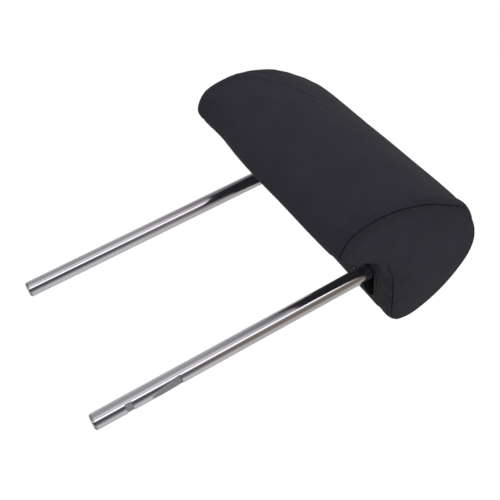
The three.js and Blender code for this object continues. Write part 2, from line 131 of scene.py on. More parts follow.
# ---- node helpers ----
class Nodes:
    """A material's or world's node tree, with short calls to add and link nodes."""

    def __init__(self, tree):
        self.tree = tree
        tree.nodes.clear()

    def add(self, kind, **values):
        node = self.tree.nodes.new(kind)
        for name, value in values.items():
            setattr(node, name, value)
        return node

    def link(self, source, target):
        self.tree.links.new(source, target)

    def feed(self, target, value):
        if isinstance(value, bpy.types.NodeSocket):
            self.link(value, target)
        else:
            target.default_value = value

    def math(self, operation, *values):
        node = self.add("ShaderNodeMath", operation=operation)
        for socket, value in zip(node.inputs, values):
            self.feed(socket, value)
        return node.outputs[0]

    def ramp(self, factor, stops, interpolation="LINEAR"):
        node = self.add("ShaderNodeValToRGB")
        node.color_ramp.interpolation = interpolation
        elements = node.color_ramp.elements
        while len(elements) < len(stops):
            elements.new(0.5)
        for element, (position, colour) in zip(elements, stops):
            element.position = position
            element.color = grey(colour) if isinstance(colour, (int, float)) else (*colour, 1)
        self.feed(node.inputs[0], factor)
        return node.outputs[0]

    def noise(self, vector, scale, detail=2.0, roughness=0.5):
        node = self.add("ShaderNodeTexNoise")
        node.inputs["Scale"].default_value = scale
        node.inputs["Detail"].default_value = detail
        node.inputs["Roughness"].default_value = roughness
        self.feed(node.inputs["Vector"], vector)
        return node.outputs["Fac"]

    def mix_colour(self, factor, first, second, blend="MIX"):
        node = self.add("ShaderNodeMix", data_type="RGBA", blend_type=blend)
        self.feed(node.inputs[0], factor)
        for socket, value in ((node.inputs[6], first), (node.inputs[7], second)):
            self.feed(socket, value if isinstance(value, bpy.types.NodeSocket) else (*value, 1))
        return node.outputs[2]

    def bump(self, height, strength, distance, normal=None):
        node = self.add("ShaderNodeBump")
        node.inputs["Strength"].default_value = strength
        node.inputs["Distance"].default_value = distance
        self.feed(node.inputs["Height"], height)
        if normal is not None:
            self.feed(node.inputs["Normal"], normal)
        return node.outputs[0]

    def place(self):
        return self.add("ShaderNodeTexCoord").outputs["Object"]

    def scaled(self, vector, scale):
        node = self.add("ShaderNodeMapping")
        node.inputs["Scale"].default_value = scale
        self.feed(node.inputs["Vector"], vector)
        return node.outputs[0]

    def surface(self, **values):
        shader = self.add("ShaderNodeBsdfPrincipled")
        for name, value in values.items():
            socket = shader.inputs[name.replace("_", " ")]
            if isinstance(value, tuple) and len(value) == 3:
                value = (*value, 1)
            self.feed(socket, value)
        output = self.add("ShaderNodeOutputMaterial")
        self.link(shader.outputs[0], output.inputs[0])
        return shader


def grey(value):
    return (value, value, value, 1)


def new_material(name):
    material = bpy.data.materials.new(name)
    material.use_nodes = True
    return material, Nodes(material.node_tree)


# ---- materials ----
THREAD = 0.75  # millimetres between threads; the panels' UV maps are in millimetres


def fabric_material(name, tone):
    """Fine plain weave over a soft mottling. The weave follows the panel's own grain, kept in its UV map."""
    material, n = new_material(name)
    grain = n.add("ShaderNodeUVMap", uv_map="grain").outputs[0]
    parts = n.add("ShaderNodeSeparateXYZ")
    n.link(grain, parts.inputs[0])
    u = n.math("MULTIPLY", parts.outputs[0], math.pi / THREAD)
    v = n.math("MULTIPLY", parts.outputs[1], math.pi / THREAD)
    wander = n.noise(n.scaled(grain, (0.35, 0.35, 1)), 1.0, 3.0)
    bend = n.math("MULTIPLY", wander, 1.6)
    sine_u = n.math("SINE", n.math("ADD", u, bend))
    sine_v = n.math("SINE", n.math("ADD", v, bend))
    warp = n.math("ABSOLUTE", sine_u)
    weft = n.math("ABSOLUTE", sine_v)
    parity = n.math("MULTIPLY", sine_u, sine_v)
    over = n.ramp(n.math("MULTIPLY_ADD", parity, 1.5, 0.5), [(0.25, 0.0), (0.75, 1.0)], "EASE")
    lift = n.math("MULTIPLY", over, n.math("SUBTRACT", warp, weft))
    weave = n.math("ADD", weft, lift)
    fibres = n.noise(n.scaled(grain, (5.0, 5.0, 1)), 1.0, 2.0, 0.6)
    mottle = n.noise(n.scaled(grain, (0.05, 0.05, 1)), 1.0, 4.0, 0.6)

    dark = tuple(c * 0.72 for c in tone)
    light = tuple(c * 1.22 for c in tone)
    shade = n.math("MULTIPLY_ADD", weave, 0.55, n.math("MULTIPLY", fibres, 0.45))
    colour = n.mix_colour(n.math("SUBTRACT", shade, 0.05), dark, light)
    patches = n.ramp(mottle, [(0.3, 0.9), (0.7, 1.08)])
    colour = n.mix_colour(1.0, colour, patches, "MULTIPLY")
    # Painted shade: the colour is darkened in the seam's groove, where the folded allowance would lie in shade.
    groove_shade = n.add("ShaderNodeAttribute", attribute_name="groove_shade").outputs["Fac"]
    colour = n.mix_colour(n.math("MULTIPLY", groove_shade, 0.5), colour, tuple(c * 0.3 for c in tone))
    # Painted shade: the fabric is darkened near the seam; the same nearness also gathers it in the bump below.
    seam_near = n.add("ShaderNodeAttribute", attribute_name="seam_near").outputs["Fac"]
    colour = n.mix_colour(n.math("MULTIPLY", seam_near, 0.22), colour, tuple(c * 0.4 for c in tone))
    gather = n.noise(n.scaled(grain, (0.28, 0.28, 1)), 1.0, 1.0)
    normal = n.bump(n.math("MULTIPLY", gather, seam_near), 0.5, 1.1 * MM)
    normal = n.bump(weave, 0.55, 0.16 * MM, normal)
    normal = n.bump(fibres, 0.35, 0.08 * MM, normal)
    n.surface(
        Base_Color=colour,
        Roughness=0.88,
        Sheen_Weight=0.05,
        Sheen_Roughness=0.45,
        Sheen_Tint=(0.82, 0.82, 0.9),
        Specular_IOR_Level=0.2,
        Normal=normal,
    )
    return material


def chrome_material():
    """Polished plating: a very fine polishing grain along the rod, faint waves and a few dull marks."""
    material, n = new_material("chrome_plating")
    place = n.place()
    grain = n.noise(n.scaled(place, (2200, 2200, 90)), 1.0, 2.0)
    waves = n.noise(n.scaled(place, (35, 35, 12)), 1.0, 1.0)
    marks = n.noise(n.scaled(place, (160, 160, 60)), 1.0, 5.0, 0.7)
    rough = n.ramp(marks, [(0.45, 0.1), (0.62, 0.13), (0.78, 0.2)])
    tint = n.mix_colour(n.ramp(marks, [(0.5, 0.0), (0.8, 1.0)]), (0.75, 0.75, 0.765), (0.68, 0.67, 0.65))
    milled = n.add("ShaderNodeAttribute", attribute_name="milled").outputs["Fac"]
    cutter = n.noise(n.scaled(place, (60, 2600, 500)), 1.0, 2.0)
    scored = n.mix_colour(cutter, (0.2, 0.2, 0.22), (0.5, 0.5, 0.52))
    tint = n.mix_colour(milled, tint, scored)
    rough = n.math("MULTIPLY_ADD", milled, 0.2, rough)
    normal = n.bump(waves, 0.25, 0.12 * MM)
    normal = n.bump(grain, 0.05, 0.004 * MM, normal)
    n.surface(Base_Color=tint, Metallic=1.0, Roughness=rough, Normal=normal)
    return material


def plastic_material(name, colour, grain_size, roughness=0.5):
    """Moulded plastic with a spark-eroded grain."""
    material, n = new_material(name)
    place = n.place()
    grain = n.noise(place, 1 / grain_size, 3.0, 0.6)
    stipple = n.add("ShaderNodeTexVoronoi", feature="SMOOTH_F1")
    stipple.inputs["Scale"].default_value = 0.6 / grain_size
    n.link(place, stipple.inputs["Vector"])
    tone = n.mix_colour(grain, tuple(c * 0.8 for c in colour), tuple(c * 1.25 for c in colour))
    rough = n.ramp(grain, [(0.3, roughness - 0.08), (0.7, roughness + 0.1)])
    normal = n.bump(stipple.outputs["Distance"], 0.4, 0.12 * MM)
    normal = n.bump(grain, 0.3, 0.06 * MM, normal)
    n.surface(Base_Color=tone, Roughness=rough, Specular_IOR_Level=0.3, Normal=normal)
    return material


def metal_material(name, colour, roughness, coat=0.0):
    """Plated or oxide-blacked steel: fine mottling and handling marks."""
    material, n = new_material(name)
    place = n.place()
    mottle = n.noise(place, 420, 4.0, 0.65)
    brushed = n.noise(n.scaled(place, (3000, 300, 3000)), 1.0, 2.0)
    tone = n.mix_colour(mottle, tuple(c * 0.75 for c in colour), tuple(min(1.0, c * 1.2) for c in colour))
    rough = n.ramp(mottle, [(0.3, roughness - 0.1), (0.75, roughness + 0.14)])
    normal = n.bump(brushed, 0.15, 0.03 * MM)
    n.surface(Base_Color=tone, Metallic=1.0, Roughness=rough, Coat_Weight=coat, Normal=normal)
    return material


def foam_material():
    """Cut polyurethane foam: open cells and a slight yellowing."""
    material, n = new_material("foam_open_cell")
    place = n.place()
    cells = n.add("ShaderNodeTexVoronoi", feature="F1")
    cells.inputs["Scale"].default_value = 900
    n.link(place, cells.inputs["Vector"])
    stain = n.noise(place, 60, 3.0)
    tone = n.mix_colour(stain, (0.14, 0.14, 0.135), (0.2, 0.195, 0.175))
    tone = n.mix_colour(n.math("MULTIPLY", cells.outputs["Distance"], 0.8), tone, (0.03, 0.03, 0.03))
    normal = n.bump(cells.outputs["Distance"], 0.6, 0.4 * MM)
    n.surface(Base_Color=tone, Roughness=0.95, Normal=normal)
    return material


main_fabric = fabric_material("fabric_main", (0.0375, 0.0358, 0.0485))
# The end panels get a slightly darker, bluer copy of the main panel's fabric: painted shade on the pad's ends.
shaded_end_fabric = fabric_material("fabric_end", (0.0345, 0.0335, 0.0455))
chrome = chrome_material()
base_plastic = plastic_material("plastic_base_cover", (0.016, 0.0198, 0.0198), 0.5 * MM, 0.6)
nylon = plastic_material("nylon_bush", (0.62, 0.6, 0.54), 0.9 * MM, 0.45)
zinc = metal_material("zinc_plated_steel", (0.55, 0.56, 0.58), 0.34)
black_oxide = metal_material("black_oxide_steel", (0.05, 0.05, 0.055), 0.42, 0.15)
foam = foam_material()

SLOT_MATERIALS = {
    "chrome": chrome,
    "zinc_steel": zinc,
    "black_steel": black_oxide,
    "nylon": nylon,
    "black_plastic": base_plastic,
    "foam": foam,
    "fabric": main_fabric,
}


# ---- mesh helpers ----
def mesh_object(name, vertices, faces, material, smooth=True):
    mesh = bpy.data.meshes.new(name)
    mesh.from_pydata([tuple(v) for v in vertices], [], faces)
    mesh.materials.append(material)
    if smooth:
        mesh.shade_smooth()
    obj = bpy.data.objects.new(name, mesh)
    bpy.context.scene.collection.objects.link(obj)
    return obj


def apply_modifiers(obj):
    graph = bpy.context.evaluated_depsgraph_get()
    obj.data = bpy.data.meshes.new_from_object(obj.evaluated_get(graph))
    obj.modifiers.clear()
    return obj


def fix_normals(obj):
    shape = bmesh.new()
    shape.from_mesh(obj.data)
    bmesh.ops.recalc_face_normals(shape, faces=shape.faces)
    shape.to_mesh(obj.data)
    shape.free()


def ring_faces(rows, columns, closed_rows=False):
    """Quads of a grid whose columns close on themselves. Rows are rings, one after the other."""
    faces = []
    for r in range(rows if closed_rows else rows - 1):
        for c in range(columns):
            a, b = r * columns + c, r * columns + (c + 1) % columns
            up = (r + 1) % rows
            faces.append((a, b, up * columns + (c + 1) % columns, up * columns + c))
    return faces


# ---- the pad's form ----
def catmull_rom_loop(points, per_span):
    """A closed centripetal Catmull-Rom curve through the points."""
    points = np.array(points, float)
    count = len(points)
    out = []
    for i in range(count):
        p0, p1, p2, p3 = (points[(i + k - 1) % count] for k in range(4))
        t0 = 0.0
        t1 = t0 + np.linalg.norm(p1 - p0) ** 0.5
        t2 = t1 + np.linalg.norm(p2 - p1) ** 0.5
        t3 = t2 + np.linalg.norm(p3 - p2) ** 0.5
        for t in np.linspace(t1, t2, per_span, endpoint=False):
            a1 = (t1 - t) / (t1 - t0) * p0 + (t - t0) / (t1 - t0) * p1
            a2 = (t2 - t) / (t2 - t1) * p1 + (t - t1) / (t2 - t1) * p2
            a3 = (t3 - t) / (t3 - t2) * p2 + (t - t2) / (t3 - t2) * p3
            b1 = (t2 - t) / (t2 - t0) * a1 + (t - t0) / (t2 - t0) * a2
            b2 = (t3 - t) / (t3 - t1) * a2 + (t - t1) / (t3 - t1) * a3
            out.append((t2 - t) / (t2 - t1) * b1 + (t - t1) / (t2 - t1) * b2)
    return np.array(out)


UNDERSIDE = SECTION[0][1] * MM
outline = catmull_rom_loop(SECTION, 40) * MM
steps = np.linalg.norm(np.roll(outline, -1, 0) - outline, axis=1)
outline_reach = np.concatenate([[0], np.cumsum(steps)])
OUTLINE_LENGTH = outline_reach[-1]
closed_outline = np.vstack([outline, outline[:1]])
tangents = np.roll(outline, -2, 0) - np.roll(outline, 2, 0)
tangents /= np.linalg.norm(tangents, axis=1)[:, None]
closed_inward = np.stack([-tangents[:, 1], tangents[:, 0]], 1)
closed_inward = np.vstack([closed_inward, closed_inward[:1]])


def on_outline(s):
    """Points (Y, Z) and inward normals at distances s along the outline."""
    s = np.mod(np.asarray(s, float), OUTLINE_LENGTH)
    point = np.stack([np.interp(s, outline_reach, closed_outline[:, k]) for k in range(2)], -1)
    inward = np.stack([np.interp(s, outline_reach, closed_inward[:, k]) for k in range(2)], -1)
    return point, inward / np.linalg.norm(inward, axis=-1, keepdims=True)


def rim_inset(x):
    """How far the rounded ends pull the section in at a place along X."""
    along = np.clip((np.abs(x) - (PAD_HALF_LENGTH - RIM_LENGTH)) / RIM_LENGTH, 0, 1)
    return RIM_INSET * (1 - np.sqrt(1 - along**2))


def fullness(yz, x):
    """How far in the surface stands, by the stuffing, at places (Y, Z) on the section and at x."""
    total = 0.0
    for (x_middle, y, z), reach_x, reach, depth in FULLNESS:
        along = (x / MM - x_middle) / reach_x
        across = np.hypot(yz[..., 0] / MM - y, yz[..., 1] / MM - z) / reach
        total = total + depth * MM * np.exp(-(along**2) - across**2)
    return total


def pad_point(s, x, inset):
    """The pad's surface at distances s round the section, at x, moved in by inset."""
    point, inward = on_outline(s)
    inset = np.asarray(inset) + fullness(point, np.asarray(x))
    yz = point + inward * inset[..., None]
    return np.concatenate([np.broadcast_to(np.asarray(x)[..., None], (*yz.shape[:-1], 1)), yz], -1)


def underside_reach(y):
    """The distance along the outline at which the underside is at y."""
    under = np.where((outline[:, 1] < UNDERSIDE + 2 * MM) & (outline[:, 0] > base_low.y - 8 * MM))[0]
    nearest = under[np.argmin(np.abs(outline[under, 0] - y))]
    return outline_reach[nearest]


def distance_to_loop(points, loop):
    """The distance of (Y, Z) points from a finely divided loop."""
    return np.min(np.linalg.norm(points[:, None, :] - loop, axis=-1), axis=-1)


def inside_loop(points, loop):
    """Which (Y, Z) points are inside a loop, by counting crossings along Y."""
    inside = np.zeros(len(points), bool)
    y, z = points[:, 0], points[:, 1]
    for (y0, z0), (y1, z1) in zip(loop, np.roll(loop, -1, 0)):
        if z0 == z1:
            continue
        crosses = (z0 > z) != (z1 > z)
        inside ^= crosses & (y < y0 + (z - z0) / (z1 - z0) * (y1 - y0))
    return inside


# ---- stem ----
def rod_path():
    """Centre-line points of one half of the rod, from the lower end of a post up to the middle."""
    bend_start = PIVOT.z - BEND_RADIUS
    heights = list(np.linspace(ROD_END_ROUND + MM, bend_start, 46))
    for edge in (*SQUARE_NOTCH, RAMP_NOTCH[1]):
        heights += [edge - 0.12 * MM, edge - 0.04 * MM, edge + 0.04 * MM, edge + 0.12 * MM]
    heights += list(np.linspace(RAMP_NOTCH[0], RAMP_NOTCH[1] - MM, 12))
    heights = sorted(heights)
    points = [(POST_X, z, (0.0, 1.0)) for z in heights]
    for angle in np.linspace(0, math.pi / 2, 22)[1:]:
        x = POST_X - BEND_RADIUS + BEND_RADIUS * math.cos(angle)
        z = bend_start + BEND_RADIUS * math.sin(angle)
        points.append((x, z, (-math.sin(angle), math.cos(angle))))
    for x in np.linspace(POST_X - BEND_RADIUS, 0, 12)[1:]:
        points.append((x, PIVOT.z, (-1.0, 0.0)))
    return points


def notch_floor(z):
    """How far out the notched post's outer side reaches at height z, from its axis."""
    if SQUARE_NOTCH[0] < z < SQUARE_NOTCH[1]:
        return ROD_RADIUS - NOTCH_DEPTH
    if RAMP_NOTCH[0] < z < RAMP_NOTCH[1]:
        share = (z - RAMP_NOTCH[0]) / (RAMP_NOTCH[1] - RAMP_NOTCH[0])
        return ROD_RADIUS - share * NOTCH_DEPTH
    return ROD_RADIUS


def build_rod():
    """Both posts and the crossbar, swept as one round bar whose notches are milled flat."""
    sides = 72
    half = rod_path()
    rounding = []
    for turn in np.linspace(0, math.pi / 2, 7):
        radius = ROD_RADIUS - ROD_END_ROUND * (1 - math.sin(turn))
        rounding.append((ROD_END_ROUND * (1 - math.cos(turn)), radius))
    stations = [(POST_X, z, (0.0, 1.0), radius) for z, radius in rounding]
    stations += [(x, z, along, ROD_RADIUS) for x, z, along in half]
    stations += [(-x, z, (along[0], -along[1]), radius) for x, z, along, radius in reversed(stations[:-1])]
    vertices = []
    milled = []
    for x, z, (along_x, along_z), radius in stations:
        across = Vector((along_z, 0, -along_x))
        for k in range(sides):
            angle = 2 * math.pi * k / sides
            out = radius * math.cos(angle)
            floor = notch_floor(z) if x > 0 and along_x == 0 else radius
            milled.append(float(out > floor))
            out = min(out, floor)
            vertices.append(Vector((x, 0, z)) + across * out + Vector((0, radius * math.sin(angle), 0)))
    faces = ring_faces(len(stations), sides)
    for first in (0, (len(stations) - 1) * sides):
        faces.append(tuple(range(first, first + sides)))
    rod = mesh_object("stem_rod_plated", vertices, faces, chrome)
    fix_normals(rod)
    point_attribute(rod, "milled", milled)
    rod.data.set_sharp_from_angle(angle=math.radians(32))
    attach(rod, "stem")
    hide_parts("stem_rod")


# ---- upholstery ----
# The seam's allowance and edge: distance from the seam along the surface, depth below it and how dark the
# painted shade in the groove is there. The first rows are the allowance folded into the pad.
SEAM_CURL = [
    (0.06 * MM, 4.0 * MM, 1.0),
    (0.07 * MM, 2.2 * MM, 1.0),
    (0.10 * MM, 1.1 * MM, 1.0),
    (0.26 * MM, 0.38 * MM, 0.7),
    (0.64 * MM, 0.10 * MM, 0.2),
    (1.30 * MM, 0.0, 0.0),
]
# How far from the seam the puckers and the painted shade beside the seam reach.
PUCKER_AND_SHADE_REACH = 7 * MM


def seam_shade_strength(points):
    """How dark the painted shade in the seam's groove is: full along the top and weaker towards the lower front.
    """
    return 0.3 + 0.7 * np.clip((points[..., 2] - 195 * MM) / (65 * MM), 0, 1)


def seam_rows(side):
    """A panel's rows at its seam: x, inset and the groove's painted shade. The side is 1 for an end panel, -1 for
    the main.
    """
    near = 0.1 * MM
    slope = math.atan2(float(rim_inset(SEAM_X + near) - rim_inset(SEAM_X - near)), 2 * near)
    along = np.array([math.cos(slope), math.sin(slope)])
    inward = np.array([-math.sin(slope), math.cos(slope)])
    seam = np.array([SEAM_X, float(rim_inset(SEAM_X))])
    rows = []
    for distance, depth, groove_shade in SEAM_CURL:
        x, inset = seam + side * along * distance + inward * depth
        rows.append((x, inset, groove_shade))
    return rows


def evenly(start, stop, step):
    """Values from start to stop, spaced by about a step."""
    return np.linspace(start, stop, max(2, int(round(abs(stop - start) / step)) + 1))


def point_attribute(obj, name, values):
    attribute = obj.data.attributes.new(name, "FLOAT", "POINT")
    attribute.data.foreach_set("value", np.asarray(values, np.float32))


def grain_map(obj, coordinates):
    """Keeps each vertex's place on the flat panel, in millimetres, as the UV map that the weave follows."""
    layer = obj.data.uv_layers.new(name="grain")
    corner_vertices = np.zeros(len(obj.data.loops), int)
    obj.data.loops.foreach_get("vertex_index", corner_vertices)
    layer.data.foreach_set("uv", np.asarray(coordinates, np.float32)[corner_vertices].ravel())


def unevenness(points, size, seed):
    """Smooth noise between -1 and 1 over points, with bumps of about a size."""
    shift = Vector((seed, 2 * seed, 3 * seed))
    flat = points.reshape(-1, 3) / size
    return np.array([noise.noise(Vector(p) + shift) for p in flat]).reshape(points.shape[:-1])


def crease_depth(s, x):
    """How far the creases press the main panel in."""
    total = np.zeros_like(s)
    for (s_middle, x_middle), direction, half_length, width, depth in CREASES:
        along = np.array(direction) / np.linalg.norm(direction)
        off_s = s / MM - s_middle
        off_x = x / MM - x_middle
        run = off_s * along[0] + off_x * along[1]
        off = (off_x * along[0] - off_s * along[1]) / width
        fade = np.exp(-((run / half_length) ** 4))
        total += depth * MM * fade * (1 - 1.2 * off**2) * np.exp(-(off**2))
    return total


STEADY_REACH = 3 * MM  # round the base cover's face, where the upholstery is not turned
TURN_FADE = 14 * MM


def askew(points):
    """Turns the upholstery about the Y axis by ROLL, except round the base cover."""
    y, z = points[..., 1], points[..., 2]
    across = np.maximum(np.maximum(base_low.y - y, y - base_high.y), 0)
    distance = np.hypot(across, z - UNDERSIDE)
    share = np.clip((distance - STEADY_REACH) / TURN_FADE, 0, 1)
    share = share * share * (3 - 2 * share)
    turned = points.copy()
    turned[..., 2] += share * ROLL * points[..., 0]
    turned[..., 0] -= share * ROLL * (z - PIVOT.z)
    return turned


HEM_STEPS = [0.0, 0.5 * MM, 1.1 * MM, 1.8 * MM]
HEM_DEPTH = 2.2 * MM


def hem_rise(depth):
    """How far the fabric has turned up into the pad at a distance inside the base window's edge."""
    turn = np.clip(depth / HEM_STEPS[-1], 0, 1)
    return HEM_DEPTH * (1 - np.sqrt(1 - turn**2))


WINDOW_GAP = 0.2 * MM
WINDOW_DEPTH = 4 * MM  # the most that the main panel may be pressed in beside the window
NET_STEP = 2.6 * MM
UNDER_STEP = 3 * MM
RIM_STEP = 1.7 * MM
PUCKER_SIZE = 5.5 * MM
MAIN_CAP = 0.8 * MM  # how far the simulation may move a point
END_CAP = 0.3 * MM


def build_main_cover():
    """The panel round the whole section, with a hem round the base cover's window in its underside."""
    window_half = base_high.x + WINDOW_GAP
    s_front = underside_reach(base_low.y - WINDOW_GAP)
    s_back = underside_reach(base_high.y + WINDOW_GAP)
    # round the back, top and nose from the window's back edge to its front edge, then along the underside
    around = list(evenly(s_back, s_front, NET_STEP))
    hem_front = [s_front + step for step in HEM_STEPS[1:]]
    hem_back = [s_back + OUTLINE_LENGTH - step for step in reversed(HEM_STEPS[1:])]
    under = list(evenly(hem_front[-1], hem_back[0], UNDER_STEP)[1:-1])
    s_values = np.array(around + hem_front + under + hem_back)

    seam = seam_rows(-1)
    rim_places = evenly(SEAM_X - NET_STEP, window_half + 1.5 * MM, RIM_STEP)
    rim = [(x, float(rim_inset(x)), 0.0) for x in rim_places]
    hem = [(window_half - step, 0.0, 0.0) for step in HEM_STEPS]
    middle = [(x, 0.0, 0.0) for x in evenly(window_half - 4 * MM, 0, NET_STEP)]
    half = seam + rim + hem + middle
    rows = half + [(-x, inset, groove_shade) for x, inset, groove_shade in reversed(half[:-1])]

    s, x = np.meshgrid(s_values, [row[0] for row in rows])
    inset = np.repeat(np.array([row[1] for row in rows])[:, None], len(s_values), 1)
    seam_distance = SEAM_X - np.abs(x)
    puckers = 0.28 * MM * np.exp(-seam_distance / PUCKER_AND_SHADE_REACH)
    flat = np.stack([s, x, 0 * s], -1)
    inset += crease_depth(s, x) + 0.35 * MM * unevenness(flat, 45 * MM, 3)
    inset += puckers * unevenness(flat * [1, 0.35, 1], PUCKER_SIZE, 8)

    in_front = s >= s_front - 1e-9
    window = np.minimum(np.minimum(s - s_front, s_back + OUTLINE_LENGTH - s), window_half - np.abs(x))
    window = np.where(in_front, window, -1)
    points = pad_point(s, x, np.where(in_front, np.minimum(inset, WINDOW_DEPTH), inset))
    points[..., 2] += hem_rise(np.maximum(window, 0))
    points = askew(points)

    columns = len(s_values)
    depth = window.ravel()
    faces = [face for face in ring_faces(len(rows), columns)
             if min(depth[v] for v in face) < HEM_STEPS[-1] - 1e-6]
    cover = mesh_object("pad_cover_main", points.reshape(-1, 3), faces, main_fabric)
    grain_map(cover, np.stack([np.mod(s, OUTLINE_LENGTH).ravel(), x.ravel()], 1) / MM)
    # Painted shade in the seam's groove, kept as a point attribute for the fabric's colour.
    groove_shade = np.repeat([row[2] for row in rows], columns) * seam_shade_strength(points.reshape(-1, 3))
    point_attribute(cover, "groove_shade", groove_shade)
    point_attribute(cover, "seam_near", np.exp(-seam_distance / PUCKER_AND_SHADE_REACH).ravel())
    held = (seam_distance < 1.5 * MM) | (window > -1.5 * MM) & in_front
    finish_panel(cover, "cover_main_panel", held.ravel(), MAIN_CAP, 1.2)


def build_end_cover(side):
    """An end panel: rings that follow the seam, and an even net of triangles inside them."""
    columns = 140
    s = np.linspace(0, OUTLINE_LENGTH, columns, endpoint=False)
    rows = seam_rows(1)
    start = rows[-1][1]
    fine = np.linspace(0, OUTLINE_LENGTH, 6 * columns, endpoint=False)

    def ring(places, inset):
        return pad_point(places, np.full(len(places), side * SEAM_X), np.full(len(places), inset))[:, 1:]

    rings = [ring(s, row[1]) for row in rows]
    inner = [ring(s, start + step) for step in (1.0 * MM, 2.0 * MM)]
    seam_line = ring(fine, start)

    # the net: points on a triangular grid that are clear of the last ring
    border = inner[-1]
    spacing = 2.9 * MM
    low, high = border.min(0), border.max(0)
    net = []
    for row, z in enumerate(np.arange(low[1], high[1], spacing * math.sqrt(0.75))):
        net += [(y + spacing / 2 * (row % 2), z) for y in np.arange(low[0], high[0], spacing)]
    net = np.array(net)
    clear = distance_to_loop(net, seam_line) > 2.0 * MM + 0.6 * spacing
    net = net[inside_loop(net, border) & clear]
    edges = [(k, (k + 1) % columns) for k in range(columns)]
    seeds = [Vector(p) for p in np.vstack([border, net])]
    _, _, triangles, _, _, _ = delaunay_2d_cdt(seeds, edges, [], 1, 1e-7)

    ring_rows = len(rings) + len(inner)
    flat = np.vstack([*rings, *inner, net])
    faces = ring_faces(ring_rows, columns)
    first = (ring_rows - 1) * columns
    faces += [tuple(first + v for v in triangle) for triangle in triangles]
    depth = distance_to_loop(flat, seam_line)
    x = SEAM_X + 1.2 * MM * (1 - np.exp(-depth / (2 * MM))) + DOME_HEIGHT * (1 - np.exp(-depth / DOME_REACH))
    x[: len(rows) * columns] = np.repeat([row[0] for row in rows], columns)
    points = np.concatenate([x[:, None], flat], 1)
    depth[: len(rows) * columns] = 0
    pucker = np.exp(-depth / PUCKER_AND_SHADE_REACH) * (depth > 0)
    points[:, 0] += 0.25 * MM * pucker * unevenness(points, PUCKER_SIZE, 11 + side)
    points[:, 0] += 0.3 * MM * (1 - pucker) * unevenness(points, 35 * MM, 14 + side)
    points[:, 0] *= side
    points = askew(points)

    name = "right" if side > 0 else "left"
    cover = mesh_object("pad_cover_end_" + name, points, faces, shaded_end_fabric)
    grain_map(cover, flat / MM)
    # Painted shade in the seam's groove, kept as a point attribute for the fabric's colour.
    groove_shade = np.zeros(len(points))
    groove_shade[: len(rows) * columns] = np.repeat([row[2] for row in rows], columns)
    point_attribute(cover, "groove_shade", groove_shade * seam_shade_strength(points))
    point_attribute(cover, "seam_near", np.exp(-depth / PUCKER_AND_SHADE_REACH))
    held = np.arange(len(points)) < len(rows) * columns
    finish_panel(cover, "cover_end_panel_" + name, held, END_CAP, 12)


LAST_FRAME = 20


def swell_cloth(cover, held, cap, stiffness):
    """Lets a panel swell over its padding by cloth simulation, held at its seams, and by no more than cap."""
    count = len(cover.data.vertices)
    start = np.zeros(3 * count)
    cover.data.vertices.foreach_get("co", start)
    start = start.reshape(-1, 3)
    pins = cover.vertex_groups.new(name="held")
    pins.add([int(k) for k in np.where(held)[0]], 1.0, "REPLACE")
    cloth = cover.modifiers.new("swell", "CLOTH")
    settings = cloth.settings
    settings.quality = 4
    settings.mass = 0.25
    settings.tension_stiffness = 20
    settings.compression_stiffness = 20
    settings.shear_stiffness = 6
    settings.bending_stiffness = stiffness
    settings.use_pressure = True
    settings.uniform_pressure_force = 4
    settings.vertex_group_mass = "held"
    settings.effector_weights.gravity = 0
    settings.shrink_min = -0.012
    cloth.collision_settings.use_collision = False
    cloth.point_cache.frame_start = 1
    cloth.point_cache.frame_end = LAST_FRAME
    scene = bpy.context.scene
    for frame_number in range(1, LAST_FRAME + 1):
        scene.frame_set(frame_number)
    graph = bpy.context.evaluated_depsgraph_get()
    settled = np.zeros(3 * count)
    cover.evaluated_get(graph).data.vertices.foreach_get("co", settled)
    move = settled.reshape(-1, 3) - start
    cover.modifiers.remove(cloth)
    cover.vertex_groups.remove(pins)
    scene.frame_set(1)
    length = np.linalg.norm(move, axis=1, keepdims=True)
    move *= cap * np.tanh(length / cap) / np.maximum(length, 1e-9)
    cover.data.vertices.foreach_set("co", (start + move).ravel())
    cover.data.update()


def finish_panel(cover, node, held, cap, stiffness):
    """Swells a panel, gives it its thickness, inwards, and one subdivision."""
    fix_normals(cover)
    heart = Vector((0, base_low.y, PIVOT.z))
    polygon = max(cover.data.polygons, key=lambda p: (p.center - heart).length)
    if (polygon.center - heart).dot(polygon.normal) < 0:
        cover.data.flip_normals()
    swell_cloth(cover, held, cap, stiffness)
    thickness = cover.modifiers.new("thickness", "SOLIDIFY")
    thickness.thickness = FABRIC
    thickness.offset = -1
    smooth = cover.modifiers.new("smooth", "SUBSURF")
    smooth.levels = 1
    smooth.render_levels = 1
    apply_modifiers(cover)
    cover.data.shade_smooth()
    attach(cover, "pad")
    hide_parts(node)


# ---- foam core ----
def box_object(low, high):
    """A plain block, used only as a cutting tool."""
    corners = [(x, y, z) for x in (low[0], high[0]) for y in (low[1], high[1]) for z in (low[2], high[2])]
    faces = [(0, 1, 3, 2), (4, 6, 7, 5), (0, 4, 5, 1), (2, 3, 7, 6), (0, 2, 6, 4), (1, 5, 7, 3)]
    return mesh_object("cutter", corners, faces, foam, smooth=False)


def cut_away(piece, cutters):
    for cutter in cutters:
        cut = piece.modifiers.new("cut", "BOOLEAN")
        cut.operation = "DIFFERENCE"
        cut.solver = "EXACT"
        cut.object = cutter
    apply_modifiers(piece)
    for cutter in cutters:
        bpy.data.objects.remove(cutter)


FOAM_DEPTH = FABRIC + 2.2 * MM  # below the cover's plain outer form, so that no crease reaches it
FOAM_HALF_LENGTH = SEAM_X - 1.5 * MM
FOAM_ROUND = 2.4 * MM
FOAM_STEP = 6 * MM
CUTTER_SPARE = 8 * MM  # how far the cutter runs out below the pad
CUTTER_LAP = 1 * MM


